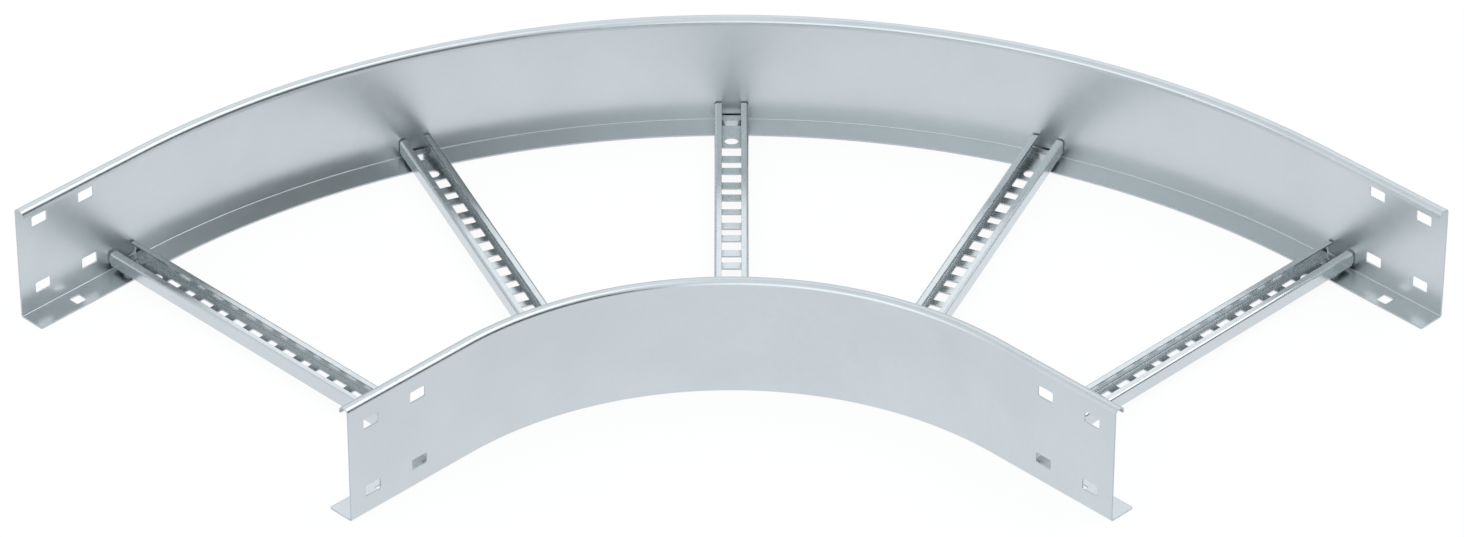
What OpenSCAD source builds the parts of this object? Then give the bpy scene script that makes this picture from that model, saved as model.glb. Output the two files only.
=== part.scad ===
// Flat 90 degree bend of a cable ladder: two folded side rails and five perforated C-profile rungs.
// The rails run straight, round the bend and straight again. Millimetres, +Z up, origin on the floor
// in the middle of the plan. End A points to -Y and end B to -X.

/* [Bend] */
// Radius of the inner rail's plain face
inner_radius = 300; // [150:5:900]
// Clear width between the two webs
clear_width = 406; // [200:1:600]
// Straight length of the rails at each end
end_straight = 132.5; // [120:0.5:300]

/* [Side rails] */
// Height of the side rails
rail_h = 110; // [80:1:160]
// Thickness of the rails' sheet
sheet = 1.5; // [1:0.1:2]
// Inside radius of the folds at the flange and the lip
fold_in = 0.8; // [0.5:0.1:1.5]
// Inside radius of the fold between the web and the top rim
rim_fold_in = 2.5; // [0.8:0.1:3]
// Width of the bottom flange, from the rail's plain face
flange_w = 26.2; // [24:0.1:40]
// Width of the top rim, from the rail's plain face
rim_w = 9.5; // [9:0.5:16]
// Height of the rim with its lip turned down
lip_h = 5; // [4.5:0.1:12]
// Corner radius of the flange at the rail's ends
flange_corner_r = 1.5; // [1:0.5:6]

/* [End holes] */
// Length of a web hole along the rail
hole_w = 16.2; // [8:0.1:20]
// Height of a web hole
hole_h = 10.3; // [6:0.1:12]
// Corner radius of the holes
hole_r = 1.5; // [0.5:0.1:2.5]
// From the rail's end to the first row of web holes
hole_first = 24.5; // [18:0.5:35]
// Spacing of the web holes along the rail
hole_pitch = 51; // [25:0.5:60]
// Height of the lower web holes' middle
hole_low = 21.8; // [15:0.1:30]
// From the rail's top to the upper web holes' middle
hole_top = 21.8; // [16:0.1:30]
// Side of the square hole in the bottom flange
flange_hole = 10.7; // [6:0.1:12]
// From the rail's end to the middle of the flange hole
flange_hole_end = 49.5; // [15:0.5:70]
// From the rail's plain face to the middle of the flange hole
flange_hole_in = 15.2; // [12:0.1:16]

/* [Rungs] */
// Width of the C-profile
rung_w = 29.5; // [28:0.5:45]
// Height of the C-profile
rung_h = 14.3; // [10:0.1:30]
// Thickness of the rungs' sheet
rung_sheet = 1.5; // [1:0.1:2]
// Inside radius of the rungs' folds
rung_fold_in = 1; // [0.5:0.1:1.5]
// Width of each lip beside the profile's open top
rung_lip = 5.9; // [4:0.1:8]
// Air between the flange and the rung's underside
rung_lift = 3.4; // [2:0.1:5]
// Air between the rung's end and the rail's web
rung_end_gap = 1.6; // [0.5:0.1:3]
// From the arc's end to the middle of an end rung
end_rung_shift = 20.9; // [0:0.1:40]
// Sideways shift of the second rungs towards the ends
second_rung_shift = 2.9; // [0:0.1:12]

/* [Rung perforation] */
// Length of a slot across the rung
slot_across = 17.5; // [10:0.5:20]
// Opening of a wide slot along the rung
slot_wide = 13.3; // [6:0.1:14]
// Opening of a narrow slot along the rung
slot_narrow = 9.2; // [4:0.1:12]
// Corner radius of the slots
slot_r = 1; // [0.3:0.1:1.4]
// Spacing of the slots along the rung
slot_pitch = 20.6; // [16:0.1:30]
// Length of the oblong hole across the rung
oblong_across = 12; // [11:0.5:18]
// Opening of the oblong hole along the rung
oblong_along = 10.5; // [4:0.5:11]
// From the rail's web to the middle of the oblong hole
oblong_from_web = 42; // [40:0.5:46]

/* [Rung tabs] */
// From the rail's web to the root of the tab that is pressed down out of the rung's base
tab_from_web = 9; // [6:0.1:10]
// Width of the tab at its root
tab_root_w = 15.9; // [13:0.1:17]
// Width of the tab at its foot
tab_tip_w = 10.4; // [8:0.1:12]
// Length of the tab's slope
tab_slope = 5.9; // [5:0.1:8]
// Length of the tab's foot, which lies flat on the flange
tab_foot = 2.4; // [1.5:0.1:4]
// Length of the opening that the tab leaves in the base
tab_window = 9.2; // [8:0.1:11]
// Width of the slits beside the tab's root
slit = 0.4; // [0.3:0.1:0.5]

/* [Hidden] */
$fn = 64;
arc_fn = 360;
bend_angle = 90;
steel = "#c4ccd1";
rung_steel = "#b9c2c6";
// Cutters run past the faces they cut, and joined shapes run into each other, by this much
over = 1;
fold_out = fold_in + sheet;
rim_fold_out = rim_fold_in + sheet;
rung_fold_out = rung_fold_in + rung_sheet;
outer_radius = inner_radius + clear_width + 2 * sheet;
// Middle of the plan's square box, seen from the bend's centre
plan_mid = (outer_radius - end_straight) / 2;
// The rungs lie between the inside faces of the two webs
mid_radius = (inner_radius + outer_radius) / 2;
half_span = clear_width / 2;
rung_len = 2 * (half_span - rung_end_gap);
rung_z = sheet + rung_lift;
// Slots come in groups of five, wide and narrow in turn, as many as fit between the oblong holes
slots_in_group = 5;
slot_run = 2 * (half_span - oblong_from_web);
slots = slots_in_group * floor(slot_run / (slots_in_group * slot_pitch));
// Each rung's direction from the bend's centre, and its shift along the rails, from end A to end B
rung_angles = [0, bend_angle / 4, bend_angle / 2, bend_angle * 3 / 4, bend_angle];
rung_shifts = [-end_rung_shift, -second_rung_shift, 0, second_rung_shift, end_rung_shift];

// Moves a shape from the bend's centre to the part's own frame
module in_place() {
    translate([-plan_mid, -plan_mid, 0])
        children();
}

// Repeats a shape of end A at end B
module both_ends() {
    children();
    mirror([1, -1, 0])
        children();
}

// Rectangle with round corners, about its middle
module round_rect(size, r) {
    square([size.x - 2 * r, size.y], center = true);
    square([size.x, size.y - 2 * r], center = true);
    for (sx = [-1, 1], sy = [-1, 1])
        translate([sx * (size.x / 2 - r), sy * (size.y / 2 - r)])
            circle(r);
}

// Slot with round ends, about its middle
module oblong(w, l) {
    square([w, l - w], center = true);
    for (sy = [-1, 1])
        translate([0, sy * (l - w) / 2])
            circle(d = w);
}

// Quarter-round fold of the rail's sheet about its bending centre, on the sides given by sx and sy
module rail_fold(r_in, sx, sy) {
    r_out = r_in + sheet;
    intersection() {
        difference() {
            circle(r_out);
            circle(r_in);
        }
        translate([(sx - 1) / 2 * r_out, (sy - 1) / 2 * r_out])
            square(r_out);
    }
}

// Rail section: x runs to the ladder's inside from the plain face, y runs up
module rail_section() {
    translate([0, fold_out])
        square([sheet, rail_h - fold_out - rim_fold_out]);
    translate([fold_out, 0])
        square([flange_w - fold_out, sheet]);
    translate([rim_fold_out, rail_h - sheet])
        square([rim_w - rim_fold_out - fold_out, sheet]);
    translate([rim_w - sheet, rail_h - lip_h])
        square([sheet, lip_h - fold_out]);
    translate([fold_out, fold_out])
        rail_fold(fold_in, -1, -1);
    translate([rim_fold_out, rail_h - rim_fold_out])
        rail_fold(rim_fold_in, -1, 1);
    translate([rim_w - fold_out, rail_h - fold_out])
        rail_fold(fold_in, 1, 1);
}

// Turns x from the bend's radius to the distance inwards from a rail's plain face
module from_face(face_radius, inward) {
    translate([face_radius, 0])
        mirror([inward < 0 ? 1 : 0, 0, 0])
            children();
}

// Runs a section of radius and height round the bend and along both straight ends
module along_bend() {
    rotate_extrude(angle = bend_angle, $fn = arc_fn)
        children();
    both_ends()
        rotate([90, 0, 0])
            linear_extrude(end_straight)
                children();
}

// Holes and rounded flange corner of a rail's end A, x being the distance inwards from its plain face
module end_cuts() {
    for (along = [hole_first, hole_first + hole_pitch], z = [hole_low, rail_h - hole_top])
        translate([-over, along - end_straight, z])
            rotate([90, 0, 90])
                linear_extrude(sheet + 2 * over)
                    round_rect([hole_w, hole_h], hole_r);
    translate([flange_hole_in, flange_hole_end - end_straight, -over])
        linear_extrude(sheet + 2 * over)
            round_rect([flange_hole, flange_hole], hole_r);
    translate([flange_w - flange_corner_r, flange_corner_r - end_straight, -over])
        linear_extrude(sheet + 2 * over)
            difference() {
                translate([0, -flange_corner_r - over])
                    square(flange_corner_r + over);
                circle(flange_corner_r);
            }
}

// Places a shape at a rung: x along the rung from its middle, y along the rails
module at_rung(i) {
    rotate(rung_angles[i])
        translate([mid_radius, rung_shifts[i], 0])
            children();
}

// Turns x to the distance from a rail's web to the rung's middle, at the inner (-1) or outer (1) end
module from_web(end) {
    mirror([end > 0 ? 1 : 0, 0, 0])
        translate([-half_span, 0, 0])
            children();
}

// One side rail: its section round the bend, and its end holes
module rail(face_radius, inward) {
    in_place()
        difference() {
            along_bend()
                from_face(face_radius, inward)
                    rail_section();
            both_ends()
                from_face(face_radius, inward)
                    end_cuts();
        }
}

// C-profile of a rung: x across the rung, y up from its underside
module rung_section() {
    translate([0, rung_h / 2])
        difference() {
            round_rect([rung_w, rung_h], rung_fold_out);
            round_rect([rung_w - 2 * rung_sheet, rung_h - 2 * rung_sheet], rung_fold_in);
            translate([rung_lip - rung_w / 2, 0])
                square([rung_w - 2 * rung_lip, rung_h]);
        }
}

// Slots and oblong holes of a rung's base
module rung_holes() {
    for (k = [0 : slots - 1]) {
        wide = (k % slots_in_group) % 2 == 0;
        translate([(k - (slots - 1) / 2) * slot_pitch, 0, -over])
            linear_extrude(rung_sheet + 2 * over)
                round_rect([wide ? slot_wide : slot_narrow, slot_across], slot_r);
    }
    for (end = [-1, 1])
        from_web(end)
            translate([oblong_from_web, 0, -over])
                linear_extrude(rung_sheet + 2 * over)
                    oblong(oblong_along, oblong_across);
}

// Opening in the rung's base out of which its tab is pressed
module tab_opening() {
    translate([tab_from_web, -tab_root_w / 2 - slit, -over])
        cube([tab_window, tab_root_w + 2 * slit, rung_sheet + 2 * over]);
}

// Tab of the rung's base: it slopes down from its root, and its foot lies flat on the flange
module tab() {
    root = tab_from_web - over;
    foot = tab_from_web + tab_slope;
    tip = foot + tab_foot;
    // The underside bends this much nearer to the web, so that the slope keeps the sheet's thickness
    bend = rung_sheet * tan(atan(rung_lift / tab_slope) / 2);
    intersection() {
        translate([0, tab_root_w / 2, 0])
            rotate([90, 0, 0])
                linear_extrude(tab_root_w)
                    polygon([
                        [root, 0], [tab_from_web - bend, 0], [foot - bend, -rung_lift], [tip, -rung_lift],
                        [tip, rung_sheet - rung_lift], [foot, rung_sheet - rung_lift],
                        [tab_from_web, rung_sheet], [root, rung_sheet]
                    ]);
        translate([0, 0, -rung_lift - over])
            linear_extrude(rung_lift + rung_sheet + 2 * over)
                polygon([
                    [root, tab_root_w / 2], [tab_from_web, tab_root_w / 2], [foot, tab_tip_w / 2],
                    [tip, tab_tip_w / 2], [tip, -tab_tip_w / 2], [foot, -tab_tip_w / 2],
                    [tab_from_web, -tab_root_w / 2], [root, -tab_root_w / 2]
                ]);
    }
}

// One rung, in its own place on the rails
module rung(i) {
    color(rung_steel)
        in_place()
            at_rung(i)
                translate([0, 0, rung_z]) {
                    difference() {
                        rotate([90, 0, 90])
                            linear_extrude(rung_len, center = true)
                                rung_section();
                        rung_holes();
                        for (end = [-1, 1])
                            from_web(end)
                                tab_opening();
                    }
                    for (end = [-1, 1])
                        from_web(end)
                            tab();
                }
}

module outer_rail() {
    color(steel)
        rail(outer_radius, -1);
}

module inner_rail() {
    color(steel)
        rail(inner_radius, 1);
}

outer_rail();
inner_rail();
rung(0);  // rung_1
rung(1);  // rung_2
rung(2);  // rung_3
rung(3);  // rung_4
rung(4);  // rung_5
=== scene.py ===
import math

import bmesh
import bpy
from mathutils import Matrix, Vector


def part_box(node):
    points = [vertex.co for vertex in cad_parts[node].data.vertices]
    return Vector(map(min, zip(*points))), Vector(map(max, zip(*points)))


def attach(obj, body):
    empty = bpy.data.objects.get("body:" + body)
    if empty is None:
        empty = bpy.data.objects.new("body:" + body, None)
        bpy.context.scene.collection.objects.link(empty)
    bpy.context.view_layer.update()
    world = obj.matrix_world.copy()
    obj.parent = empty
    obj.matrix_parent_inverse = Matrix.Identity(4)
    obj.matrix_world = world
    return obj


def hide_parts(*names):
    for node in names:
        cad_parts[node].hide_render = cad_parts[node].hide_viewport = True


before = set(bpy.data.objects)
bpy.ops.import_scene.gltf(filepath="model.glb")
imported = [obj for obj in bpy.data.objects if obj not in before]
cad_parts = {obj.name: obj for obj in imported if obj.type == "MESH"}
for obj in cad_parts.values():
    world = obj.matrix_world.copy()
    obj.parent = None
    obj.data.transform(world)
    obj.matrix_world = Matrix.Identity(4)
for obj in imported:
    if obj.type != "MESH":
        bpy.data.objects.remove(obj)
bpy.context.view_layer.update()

# Cable ladder bend of galvanised sheet steel: two folded side rails and five perforated C-profile rungs.
# Everything is in metres. End A of the bend points to -Y and end B to -X.
MM = 0.001
QUARTER = math.pi / 2

# Side rails
SHEET = 1.5 * MM
FOLD_IN = 0.8 * MM
FOLD_OUT = FOLD_IN + SHEET
RIM_FOLD_IN = 2.5 * MM
RIM_FOLD_OUT = RIM_FOLD_IN + SHEET
FLANGE_W = 26.2 * MM
RIM_W = 10.5 * MM
LIP_STRAIGHT = 2.6 * MM
RIM_SLOPE = math.radians(5)
LIP_SLOPE = math.radians(84)
END_STRAIGHT = 132.5 * MM
FLANGE_CORNER_R = 1.5 * MM

# Holes at the rails' ends
HOLE_W = 16.2 * MM
HOLE_H = 10.3 * MM
HOLE_R = 1.5 * MM
HOLE_FIRST = 24.5 * MM
HOLE_PITCH = 51 * MM
HOLE_LOW = 21.8 * MM
HOLE_TOP = 21.8 * MM
FLANGE_HOLE = 10.7 * MM
FLANGE_HOLE_END = 49.5 * MM
FLANGE_HOLE_IN = 15.2 * MM

# Rungs
RUNG_SHEET = 1.5 * MM
RUNG_FOLD_IN = 1 * MM
RUNG_FOLD_OUT = RUNG_FOLD_IN + RUNG_SHEET
RUNG_LIP = 6.4 * MM
RUNG_TURNS = [0, QUARTER / 4, QUARTER / 2, QUARTER * 3 / 4, QUARTER]
RUNG_SHIFTS = [-20.9 * MM, -2.9 * MM, 0, 2.9 * MM, 20.9 * MM]
SLOTS = 15
SLOTS_IN_GROUP = 5
SLOT_ACROSS = 17.5 * MM
SLOT_WIDE = 13.3 * MM
SLOT_NARROW = 9.2 * MM
SLOT_R = 1 * MM
SLOT_PITCH = 20.6 * MM
OBLONG_ACROSS = 12 * MM
OBLONG_ALONG = 10.5 * MM
OBLONG_FROM_WEB = 42 * MM

# Tabs pressed down out of the rungs' bases
RUNG_LIFT = 3.4 * MM
TAB_FROM_WEB = 9 * MM
TAB_ROOT_W = 15.9 * MM
TAB_TIP_W = 10.4 * MM
TAB_SLOPE = 5.9 * MM
TAB_FOOT = 2.4 * MM
TAB_WINDOW = 9.2 * MM
SLIT = 0.4 * MM

# Sizes that the frame gives
rail_low, rail_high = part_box("outer_rail")
rung_low, rung_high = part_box("rung_1")
RAIL_H = rail_high.z
BEND = Vector((rail_low.x + END_STRAIGHT, rail_low.y + END_STRAIGHT, 0))
OUTER_R = rail_high.x - BEND.x
INNER_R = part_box("inner_rail")[1].x - FLANGE_W - BEND.x
MID_R = (OUTER_R + INNER_R) / 2
HALF_SPAN = (OUTER_R - INNER_R) / 2 - SHEET
RUNG_LEN, RUNG_W = (rung_high - rung_low).xy
RUNG_Z = rung_low.z + RUNG_LIFT
RUNG_H = rung_high.z - RUNG_Z

# Angle of a tab's slope, the length that half a bend takes up, and where the first bend starts
BEND_R = 0.8 * MM
TAB_ANGLE = math.atan2(RUNG_LIFT, TAB_SLOPE)
TAB_BEND = (BEND_R + RUNG_SHEET / 2) * math.tan(TAB_ANGLE / 2)
TAB_ROOT = TAB_FROM_WEB - RUNG_SHEET / 2 * math.tan(TAB_ANGLE / 2) - TAB_BEND

# Fineness of the meshes
FOLD_STEPS = 8
ARC_STEPS = 120
CORNER_STEPS = 5
OBLONG_STEPS = 10
BEND_STEPS = 4
EDGE_R = 0.2 * MM
EDGE_STEPS = 2
CUT_EDGE_ANGLE = math.radians(60)
SMOOTH_ANGLE = math.radians(50)
OVER = 1 * MM
TINY = 0.01 * MM


def leave_edit():
    """Object mode, with nothing selected."""
    if bpy.context.object and bpy.context.object.mode == "EDIT":
        bpy.ops.object.mode_set(mode="OBJECT")
    bpy.ops.object.select_all(action="DESELECT")


def take(piece):
    """Makes a piece the only selected one, and the active one."""
    leave_edit()
    piece.select_set(True)
    bpy.context.view_layer.objects.active = piece


def enter(piece, kind):
    """Edit mode on a piece, with nothing selected: kind is VERT, EDGE or FACE."""
    take(piece)
    bpy.ops.object.mode_set(mode="EDIT")
    bpy.ops.mesh.select_mode(type=kind)
    bpy.ops.mesh.select_all(action="DESELECT")


def pick(kind, wanted):
    """Selects the verts, edges or faces of the piece in edit mode for which wanted holds."""
    bpy.ops.mesh.select_all(action="DESELECT")
    shape = bpy.context.object.data
    mesh = bmesh.from_edit_mesh(shape)
    for part in getattr(mesh, kind):
        if wanted(part):
            part.select_set(True)
    bmesh.update_edit_mesh(shape)


def middle_of(edge):
    return (edge.verts[0].co + edge.verts[1].co) / 2


def pick_edge_at(place):
    """Selects the edge of the piece in edit mode whose middle is nearest to a place."""
    mesh = bmesh.from_edit_mesh(bpy.context.object.data)
    near = min((middle_of(edge) - place).length for edge in mesh.edges)
    pick("edges", lambda edge: (middle_of(edge) - place).length < near + TINY)


def extrude(offset):
    bpy.ops.mesh.extrude_region_move(TRANSFORM_OT_translate={"value": offset})


def extrude_all(offset):
    """Gives a flat drawing in edit mode its depth."""
    bpy.ops.mesh.select_mode(type="FACE")
    bpy.ops.mesh.select_all(action="SELECT")
    extrude(offset)


def spin(angle, steps, centre, axis):
    """Sweeps the selection round an axis; the operator turns clockwise for a positive angle."""
    bpy.ops.mesh.spin(steps=steps, angle=-angle, center=centre, axis=axis)


def run_sheet(start, heading, sheet, steps, runs):
    """Carries the selected sheet end on. A run is a turn about Y, its inner radius and a straight length."""
    for turn, radius, length in runs:
        inside = Matrix.Rotation(math.copysign(QUARTER, turn), 3, "Y") @ heading
        centre = start + inside * (radius + sheet / 2)
        turned = Matrix.Rotation(turn, 3, "Y")
        spin(turn, steps, centre, (0, 1, 0))
        heading = turned @ heading
        extrude(heading * length)
        start = centre + turned @ (start - centre) + heading * length


def round_edges(piece, wanted, radius, steps):
    """Rounds the edges of a piece for which wanted holds."""
    enter(piece, "EDGE")
    pick("edges", wanted)
    bpy.ops.mesh.bevel(offset=radius, segments=steps, affect="EDGES", clamp_overlap=False)
    leave_edit()


def sheet_end(name, middle, length, thickness):
    """Rectangle in the XZ plane: the cut end of a flat strip of sheet."""
    leave_edit()
    bpy.ops.mesh.primitive_plane_add(size=1, location=middle, rotation=(QUARTER, 0, 0))
    piece = bpy.context.object
    piece.name = name
    piece.scale = (length, thickness, 1)
    bpy.ops.object.transform_apply(location=True, rotation=True, scale=True)
    return piece


def close_up(piece):
    """Merges doubled corners and turns the faces outwards."""
    enter(piece, "VERT")
    bpy.ops.mesh.select_all(action="SELECT")
    bpy.ops.mesh.remove_doubles(threshold=TINY / 10)
    bpy.ops.mesh.normals_make_consistent(inside=False)
    leave_edit()


def clear_slivers(piece):
    """Takes out the faces without area that a union can leave."""
    enter(piece, "VERT")
    bpy.ops.mesh.select_all(action="SELECT")
    bpy.ops.mesh.dissolve_degenerate(threshold=TINY)
    leave_edit()


def coat(piece, metal, is_cut):
    """Metal all over a piece, and bare steel on the cut faces for which is_cut holds."""
    piece.data.materials.append(metal)
    piece.data.materials.append(bare)
    enter(piece, "FACE")
    pick("faces", is_cut)
    piece.active_material_index = 1
    bpy.ops.object.material_slot_assign()
    leave_edit()


def round_block(middle, size, axis, radius, steps):
    """Block whose four edges along an axis (0, 1 or 2) are rounded, for cutting a hole."""
    leave_edit()
    bpy.ops.mesh.primitive_cube_add(size=1, location=middle)
    piece = bpy.context.object
    piece.scale = size
    bpy.ops.object.transform_apply(location=True, rotation=True, scale=True)
    piece.data.materials.append(bare)
    if radius > 0:
        def is_along(edge):
            return abs((edge.verts[1].co - edge.verts[0].co)[axis]) > size[axis] / 2

        round_edges(piece, is_along, radius, steps)
    return piece


def join(pieces):
    """One object of several."""
    leave_edit()
    for piece in pieces:
        piece.select_set(True)
    bpy.context.view_layer.objects.active = pieces[0]
    bpy.ops.object.join()
    return pieces[0]


def combine(piece, tools, operation):
    """Cuts the tools out of a piece, or joins them to it, and removes them."""
    tool = join(tools)
    take(piece)
    bpy.ops.object.modifier_add(type="BOOLEAN")
    boolean = piece.modifiers[-1]
    boolean.operation = operation
    boolean.object = tool
    boolean.solver = "EXACT"
    boolean.material_mode = "TRANSFER"
    bpy.ops.object.modifier_apply(modifier=boolean.name)
    bpy.data.objects.remove(tool)


def place(piece, matrix):
    """Moves a piece's mesh and leaves its object at the origin."""
    take(piece)
    piece.matrix_world = matrix @ piece.matrix_world
    bpy.ops.object.transform_apply(location=True, rotation=True, scale=True)
    if matrix.determinant() < 0:
        close_up(piece)


def rung_place(i):
    """From a rung's own frame, x along it and y along the rails, to the part's frame."""
    turned = Matrix.Translation(BEND) @ Matrix.Rotation(RUNG_TURNS[i], 4, "Z")
    return turned @ Matrix.Translation((MID_R, RUNG_SHIFTS[i], 0))


def from_web(end):
    """From x measured off a rail's web to the rung's own frame, at its inner (-1) or outer (1) end."""
    mirrored = Matrix.Scale(-1, 4, (1, 0, 0)) if end > 0 else Matrix.Identity(4)
    return mirrored @ Matrix.Translation((-HALF_SPAN, 0, 0))


def break_edges(piece):
    """Fine rounding of the sheet's cut edges."""
    take(piece)
    bpy.ops.object.modifier_add(type="BEVEL")
    bevel = piece.modifiers[-1]
    bevel.width = EDGE_R
    bevel.segments = EDGE_STEPS
    bevel.limit_method = "ANGLE"
    bevel.angle_limit = CUT_EDGE_ANGLE
    bevel.use_clamp_overlap = False
    bpy.ops.object.modifier_apply(modifier=bevel.name)


def shade(piece):
    """Smooth shading that keeps the flat faces flat."""
    take(piece)
    bpy.ops.object.shade_smooth_by_angle(angle=SMOOTH_ANGLE)
    bpy.ops.object.modifier_add(type="WEIGHTED_NORMAL")
    weighted = piece.modifiers[-1]
    weighted.keep_sharp = True
    bpy.ops.object.modifier_apply(modifier=weighted.name)


def rail_body(name, face_radius, inward):
    """The folded section, drawn at end A and run along the bend. inward is 1 or -1 along X."""
    def at(u, z):
        return Vector((BEND.x + face_radius + inward * u, rail_low.y, z))

    rim = RIM_W - 2 * RIM_FOLD_OUT
    fold_end = RAIL_H - RIM_FOLD_OUT + (RIM_FOLD_OUT - SHEET / 2) * math.cos(RIM_SLOPE)
    fold_drop = (RIM_FOLD_OUT - SHEET / 2) * (math.cos(RIM_SLOPE) - math.cos(LIP_SLOPE))
    lip_tip = fold_end - rim * math.sin(RIM_SLOPE) - fold_drop - LIP_STRAIGHT * math.sin(LIP_SLOPE)

    def is_cut(face):
        middle = face.calc_center_median()
        at_end = min(middle.y - rail_low.y, middle.x - rail_low.x) < TINY
        flange_edge = abs(face.normal.z) < 0.1 and max(vert.co.z for vert in face.verts) < SHEET + TINY
        lip_edge = abs(middle.z - lip_tip) < TINY
        return at_end or flange_edge or lip_edge

    flange = FLANGE_W - FOLD_OUT
    piece = sheet_end(name, at(FOLD_OUT + flange / 2, SHEET / 2), flange, SHEET)
    enter(piece, "EDGE")
    start = at(FOLD_OUT, SHEET / 2)
    pick_edge_at(start)
    turn = inward * QUARTER
    run_sheet(start, Vector((-inward, 0, 0)), SHEET, FOLD_STEPS, [
        (turn, FOLD_IN, RAIL_H - FOLD_OUT - RIM_FOLD_OUT),
        (turn + inward * RIM_SLOPE, RIM_FOLD_IN, rim),
        (inward * (LIP_SLOPE - RIM_SLOPE), RIM_FOLD_IN, LIP_STRAIGHT),
    ])
    extrude_all((0, END_STRAIGHT, 0))
    spin(QUARTER, ARC_STEPS, BEND, (0, 0, 1))
    extrude((-END_STRAIGHT, 0, 0))
    close_up(piece)
    coat(piece, rail_zinc, is_cut)
    return piece


def flange_corners(piece):
    """Rounds the flange's outer corners at both ends of a rail."""
    def is_corner(edge):
        low, high = sorted((vert.co for vert in edge.verts), key=lambda co: co.z)
        upright = (high - low).xy.length < TINY and high.z < SHEET + TINY
        at_end = min(abs(low.y - rail_low.y), abs(low.x - rail_low.x)) < TINY
        return upright and at_end

    round_edges(piece, is_corner, FLANGE_CORNER_R, CORNER_STEPS)


def end_holes(face_radius, inward):
    """Cutters of the holes at a rail's end A, repeated at end B."""
    web_x = BEND.x + face_radius + inward * SHEET / 2
    flange_x = BEND.x + face_radius + inward * FLANGE_HOLE_IN
    through = SHEET + 2 * OVER
    cutters = []
    for along in (HOLE_FIRST, HOLE_FIRST + HOLE_PITCH):
        for z in (HOLE_LOW, RAIL_H - HOLE_TOP):
            middle = (web_x, rail_low.y + along, z)
            cutters.append(round_block(middle, (through, HOLE_W, HOLE_H), 0, HOLE_R, CORNER_STEPS))
    middle = (flange_x, rail_low.y + FLANGE_HOLE_END, SHEET / 2)
    cutters.append(round_block(middle, (FLANGE_HOLE, FLANGE_HOLE, through), 2, HOLE_R, CORNER_STEPS))
    end_a = join(cutters)
    take(end_a)
    bpy.ops.object.duplicate()
    end_b = bpy.context.object
    swapped = Matrix(((0, 1, 0, 0), (1, 0, 0, 0), (0, 0, 1, 0), (0, 0, 0, 1)))
    place(end_b, swapped)
    return [end_a, end_b]


def side_rail(name, face_radius, inward):
    """One side rail with its end holes."""
    piece = rail_body(name, face_radius, inward)
    flange_corners(piece)
    combine(piece, end_holes(face_radius, inward), "DIFFERENCE")
    break_edges(piece)
    shade(piece)
    return piece


def rung_body():
    """C-profile along X, open at the top, its underside on the XY plane."""
    def is_cut(face):
        middle = face.calc_center_median()
        rung_end = abs(abs(middle.x) - RUNG_LEN / 2) < TINY
        lip_edge = abs(abs(middle.y) - RUNG_W / 2 + RUNG_LIP) < TINY
        return rung_end or lip_edge

    base = RUNG_W - 2 * RUNG_FOLD_OUT
    piece = sheet_end("rung", (0, 0, RUNG_SHEET / 2), base, RUNG_SHEET)
    enter(piece, "EDGE")
    for side in (-1, 1):
        start = Vector((side * base / 2, 0, RUNG_SHEET / 2))
        pick_edge_at(start)
        fold = (-side * QUARTER, RUNG_FOLD_IN)
        run_sheet(start, Vector((side, 0, 0)), RUNG_SHEET, FOLD_STEPS, [
            (*fold, RUNG_H - 2 * RUNG_FOLD_OUT),
            (*fold, RUNG_LIP - RUNG_FOLD_OUT),
        ])
    extrude_all((0, RUNG_LEN, 0))
    close_up(piece)
    place(piece, Matrix.Rotation(-QUARTER, 4, "Z") @ Matrix.Translation((0, -RUNG_LEN / 2, 0)))
    coat(piece, rung_zinc, is_cut)
    return piece


def rung_cutters():
    """Cutters of the slots, the oblong holes and the openings that the tabs leave."""
    through = RUNG_SHEET + 2 * OVER
    cutters = []
    for k in range(SLOTS):
        wide = k % SLOTS_IN_GROUP % 2 == 0
        middle = ((k - (SLOTS - 1) / 2) * SLOT_PITCH, 0, RUNG_SHEET / 2)
        size = (SLOT_WIDE if wide else SLOT_NARROW, SLOT_ACROSS, through)
        cutters.append(round_block(middle, size, 2, SLOT_R, CORNER_STEPS))
    window_end = TAB_FROM_WEB + TAB_WINDOW
    for end in (-1, 1):
        middle = (OBLONG_FROM_WEB, 0, RUNG_SHEET / 2)
        size = (OBLONG_ALONG, OBLONG_ACROSS, through)
        oblong = round_block(middle, size, 2, OBLONG_ALONG / 2 - TINY, OBLONG_STEPS)
        middle = ((TAB_ROOT + window_end) / 2, 0, RUNG_SHEET / 2)
        size = (window_end - TAB_ROOT, TAB_ROOT_W + 2 * SLIT, through)
        window = round_block(middle, size, 2, 0, 1)
        for cutter in (oblong, window):
            place(cutter, from_web(end))
            cutters.append(cutter)
    return cutters


def tab(end):
    """Tab of the rung's base: it slopes down from its root, and its foot lies flat on the flange."""
    low = -TAB_ROOT_W / 2
    foot = TAB_ROOT + TAB_SLOPE
    tip = TAB_FROM_WEB + TAB_SLOPE + TAB_FOOT
    start = Vector((TAB_ROOT, low, RUNG_SHEET / 2))
    piece = sheet_end("tab", start - Vector((OVER / 2, 0, 0)), OVER, RUNG_SHEET)
    enter(piece, "EDGE")
    pick_edge_at(start)
    run_sheet(start, Vector((1, 0, 0)), RUNG_SHEET, BEND_STEPS, [
        (TAB_ANGLE, BEND_R, math.hypot(TAB_SLOPE, RUNG_LIFT) - 2 * TAB_BEND),
        (-TAB_ANGLE, BEND_R, tip - foot - 2 * TAB_BEND),
    ])
    extrude_all((0, TAB_ROOT_W, 0))
    close_up(piece)
    enter(piece, "VERT")
    pick("verts", lambda vert: vert.co.x > foot - TINY)
    bpy.ops.transform.resize(value=(1, TAB_TIP_W / TAB_ROOT_W, 1), center_override=(foot, 0, 0))
    leave_edit()
    coat(piece, rung_zinc, lambda face: abs(face.normal.z) < 0.2)
    place(piece, from_web(end))
    return piece


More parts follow.
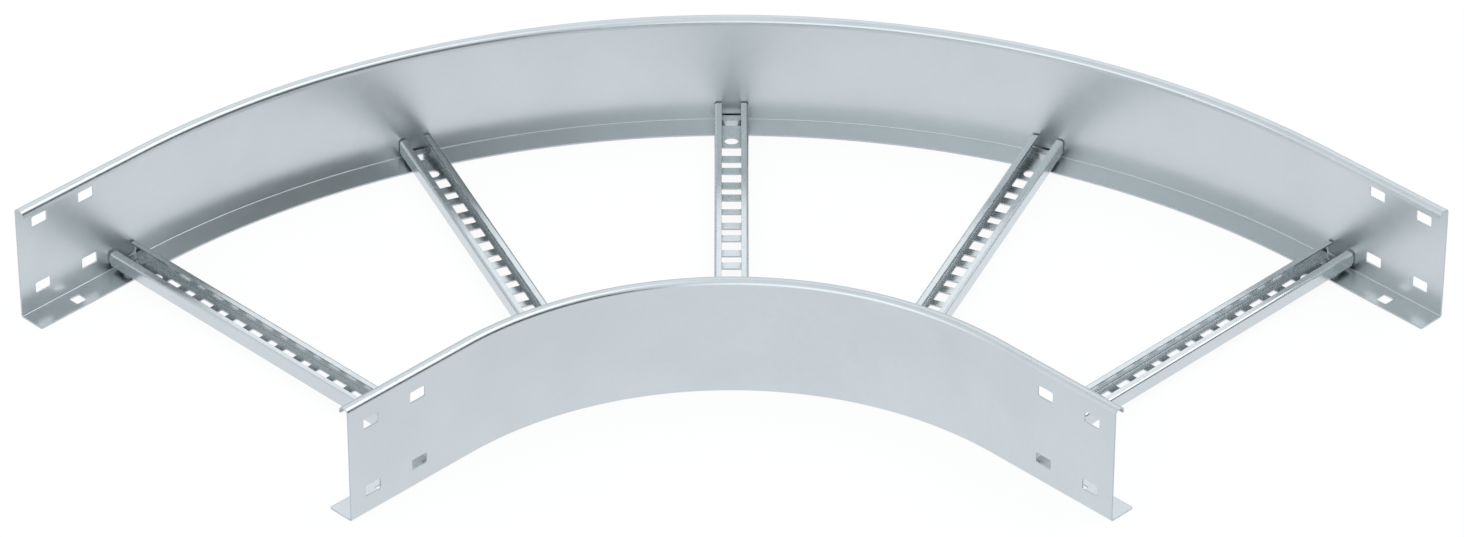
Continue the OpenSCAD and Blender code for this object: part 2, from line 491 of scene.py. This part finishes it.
def first_rung():
    """One rung in its own frame."""
    piece = rung_body()
    combine(piece, rung_cutters(), "DIFFERENCE")
    break_edges(piece)
    combine(piece, [tab(end) for end in (-1, 1)], "UNION")
    clear_slivers(piece)
    shade(piece)
    return piece


def rung_copies(model):
    """A copy of the first rung at each place along the rails, with a mesh of its own."""
    copies = []
    for i in range(len(RUNG_TURNS)):
        take(model)
        bpy.ops.object.duplicate()
        piece = bpy.context.object
        piece.name = f"steel_rung_{i + 1}"
        place(piece, rung_place(i) @ Matrix.Translation((0, 0, RUNG_Z)))
        copies.append(piece)
    bpy.data.objects.remove(model)
    return copies


class Shading:
    """Node tree of a material or a world, with short calls to add to it."""

    def __init__(self, owner):
        owner.use_nodes = True
        self.nodes = owner.node_tree.nodes
        self.link = owner.node_tree.links.new

    def add(self, kind, settings, inputs):
        """A node with its settings. Each input is set to a constant or linked to another node's output."""
        node = self.nodes.new(kind)
        for name, value in settings.items():
            setattr(node, name, value)
        for name, value in inputs.items():
            self.put(node.inputs[name], value)
        return node

    def put(self, socket, value):
        """Sets a socket to a constant, or links another node's output to it."""
        if isinstance(value, bpy.types.NodeSocket):
            self.link(value, socket)
        else:
            socket.default_value = value

    def math(self, operation, a, b):
        return self.add("ShaderNodeMath", {"operation": operation}, {0: a, 1: b}).outputs[0]

    def noise(self, spot, scale, detail):
        inputs = {"Vector": spot, "Scale": scale, "Detail": detail}
        return self.add("ShaderNodeTexNoise", {}, inputs).outputs[0]

    def spread(self, value, low, high, to_low, to_high, kind="LINEAR"):
        """Turns a value from one span to another."""
        inputs = {0: value, 1: low, 2: high, 3: to_low, 4: to_high}
        return self.add("ShaderNodeMapRange", {"interpolation_type": kind}, inputs).outputs[0]

    def between(self, share, a, b):
        """Colour between two colours."""
        node = self.add("ShaderNodeMix", {"data_type": "RGBA"}, {"Factor": share})
        self.put(node.inputs[6], a)
        self.put(node.inputs[7], b)
        return node.outputs[2]


def galvanised(name, dark, light, roughness):
    """Satin zinc on sheet steel: faint spangle, soft clouding and a fine skin."""
    material = bpy.data.materials.new(name)
    tree = Shading(material)
    spot = tree.add("ShaderNodeTexCoord", {}, {}).outputs["Object"]
    cells = tree.add("ShaderNodeTexVoronoi", {}, {"Vector": spot, "Scale": 170.0}).outputs["Color"]
    grain = tree.add("ShaderNodeSeparateColor", {}, {0: cells}).outputs[0]
    clouds = tree.noise(spot, 17.0, 3.0)
    skin = tree.noise(spot, 1400.0, 2.0)
    cloud_share = tree.spread(clouds, 0.3, 0.7, 0.0, 0.65)
    share = tree.math("ADD", cloud_share, tree.math("MULTIPLY", grain, 0.35))
    bump = tree.add("ShaderNodeBump", {}, {"Strength": 0.03, "Distance": 0.1 * MM, "Height": skin})
    sheen = tree.spread(grain, 0.0, 1.0, roughness - 0.025, roughness + 0.025)
    shader = tree.nodes["Principled BSDF"]
    tree.put(shader.inputs["Base Color"], tree.between(share, dark, light))
    tree.put(shader.inputs["Metallic"], 1.0)
    tree.put(shader.inputs["Roughness"], sheen)
    tree.put(shader.inputs["Normal"], bump.outputs[0])
    return material


def bare_steel(name):
    """Sheared edge of the sheet: darker, with fine streaks."""
    material = bpy.data.materials.new(name)
    tree = Shading(material)
    spot = tree.add("ShaderNodeTexCoord", {}, {}).outputs["Object"]
    streaks = tree.noise(spot, 700.0, 4.0)
    share = tree.spread(streaks, 0.3, 0.7, 0.0, 1.0)
    colour = tree.between(share, (0.42, 0.45, 0.47, 1), (0.55, 0.59, 0.61, 1))
    shader = tree.nodes["Principled BSDF"]
    tree.put(shader.inputs["Base Color"], colour)
    tree.put(shader.inputs["Metallic"], 1.0)
    tree.put(shader.inputs["Roughness"], tree.spread(streaks, 0.3, 0.7, 0.36, 0.48))
    return material


def pale_floor():
    """A wide white floor that shows as white, and keeps a faint shadow."""
    leave_edit()
    bpy.ops.mesh.primitive_plane_add(size=30, location=(0, 0, -0.2 * MM))
    floor = bpy.context.object
    floor.name = "floor"
    material = bpy.data.materials.new("white_floor")
    tree = Shading(material)
    surface = tree.nodes["Principled BSDF"]
    tree.put(surface.inputs["Base Color"], (0.9, 0.9, 0.9, 1))
    tree.put(surface.inputs["Roughness"], 1.0)
    tree.put(surface.inputs["Specular IOR Level"], 0.0)
    path = tree.add("ShaderNodeLightPath", {}, {})
    seen = tree.math("MULTIPLY", path.outputs["Is Camera Ray"], 0.9)
    mirrored = path.outputs["Is Glossy Ray"]
    share = tree.math("MAXIMUM", seen, mirrored)
    tint = tree.between(mirrored, (1.01, 1.01, 1.01, 1), (1.06, 1.09, 1.14, 1))
    glow = tree.add("ShaderNodeEmission", {}, {"Color": tint, "Strength": 1.0})
    mix = tree.add("ShaderNodeMixShader", {}, {0: share, 1: surface.outputs[0], 2: glow.outputs[0]})
    tree.put(tree.nodes["Material Output"].inputs["Surface"], mix.outputs[0])
    floor.data.materials.append(material)


def studio():
    """White surroundings: a bright wall in front on the left, a dark one in front on the right,
    a soft box high on the right, and a small one behind in a dimmer part of the sky."""
    world = bpy.data.worlds.new("studio")
    bpy.context.scene.world = world
    tree = Shading(world)
    way = tree.add("ShaderNodeTexCoord", {}, {}).outputs["Generated"]

    def towards(direction):
        settings = {"operation": "DOT_PRODUCT"}
        return tree.add("ShaderNodeVectorMath", settings, {0: way, 1: direction}).outputs["Value"]

    def soft(value, low, high, strength):
        return tree.spread(value, low, high, 0.0, strength, "SMOOTHSTEP")

    right = Vector((1, -1, 0)).normalized()
    away = Vector((1, 1, 0)).normalized()
    up = Vector((0, 0, 1))
    front_left = (-0.88 * away - 0.47 * right).normalized()
    front_right = (0.843 * right - 0.538 * away).normalized()
    high_right = (0.48 * right + 0.27 * away + 0.835 * up).normalized()
    high_back = (0.824 * away + 0.566 * up).normalized()
    below = towards(-up)

    bright_width = soft(towards(front_left), 0.55, 0.9, 1.0)
    bright_height = tree.math("ADD", soft(below, -0.45, -0.15, 0.4), soft(below, -0.78, -0.55, 0.5))
    bright_wall = tree.math("MULTIPLY", bright_width, bright_height)
    dark_width = soft(towards(front_right), 0.745, 0.805, 1.0)
    dark_height = soft(below, -0.72, -0.62, -0.95)
    dark_wall = tree.math("MULTIPLY", dark_width, dark_height)
    back = towards(high_back)
    back_box = tree.math("ADD", soft(back, 0.975, 0.992, 0.66), soft(back, 0.75, 0.93, -0.22))
    boxes = tree.math("ADD", soft(towards(high_right), 0.9, 0.97, 1.4), back_box)
    light = tree.math("ADD", tree.math("ADD", bright_wall, boxes), 1.0)
    light = tree.math("MULTIPLY", light, tree.math("ADD", dark_wall, 1.0))
    tree.put(tree.nodes["Background"].inputs["Strength"], light)
    tree.put(tree.nodes["Background"].inputs["Color"], (0.99, 1.03, 1.07, 1))
    bpy.context.scene.view_settings.view_transform = "Standard"


def camera():
    """The photograph's view. Its focal length and its shift of half a pixel are in the photo's pixels."""
    leave_edit()
    photo_width = 1464
    focal_length = 7297.91
    half_pixel = 0.5
    sensor = 36
    down = 0.60153
    back, up = 4.61109, 3.49448
    along = Vector((1, 1, 0)).normalized()
    bpy.ops.object.camera_add(location=BEND - along * back + Vector((0, 0, up)))
    eye = bpy.context.object
    look = along * math.cos(down) - Vector((0, 0, math.sin(down)))
    eye.rotation_euler = look.to_track_quat("-Z", "Y").to_euler()
    eye.data.sensor_width = sensor
    eye.data.lens = sensor * focal_length / photo_width
    eye.data.shift_x = half_pixel / photo_width
    eye.data.shift_y = -half_pixel / photo_width
    eye.data.clip_end = 100
    bpy.context.scene.camera = eye


rail_zinc = galvanised("rail_zinc", (0.555, 0.59, 0.595, 1), (0.595, 0.63, 0.635, 1), 0.315)
rung_zinc = galvanised("rung_zinc", (0.56, 0.595, 0.60, 1), (0.60, 0.635, 0.64, 1), 0.265)
bare = bare_steel("cut_edge")

outer = side_rail("steel_outer_rail", OUTER_R, -1)
inner = side_rail("steel_inner_rail", INNER_R, 1)
rungs = rung_copies(first_rung())

for piece, node, slot in [
    (outer, "outer_rail", "side_rail"),
    (inner, "inner_rail", "side_rail"),
    *[(rung, f"rung_{i + 1}", "rung") for i, rung in enumerate(rungs)],
]:
    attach(piece, "root")
    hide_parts(node)

pale_floor()
studio()
camera()
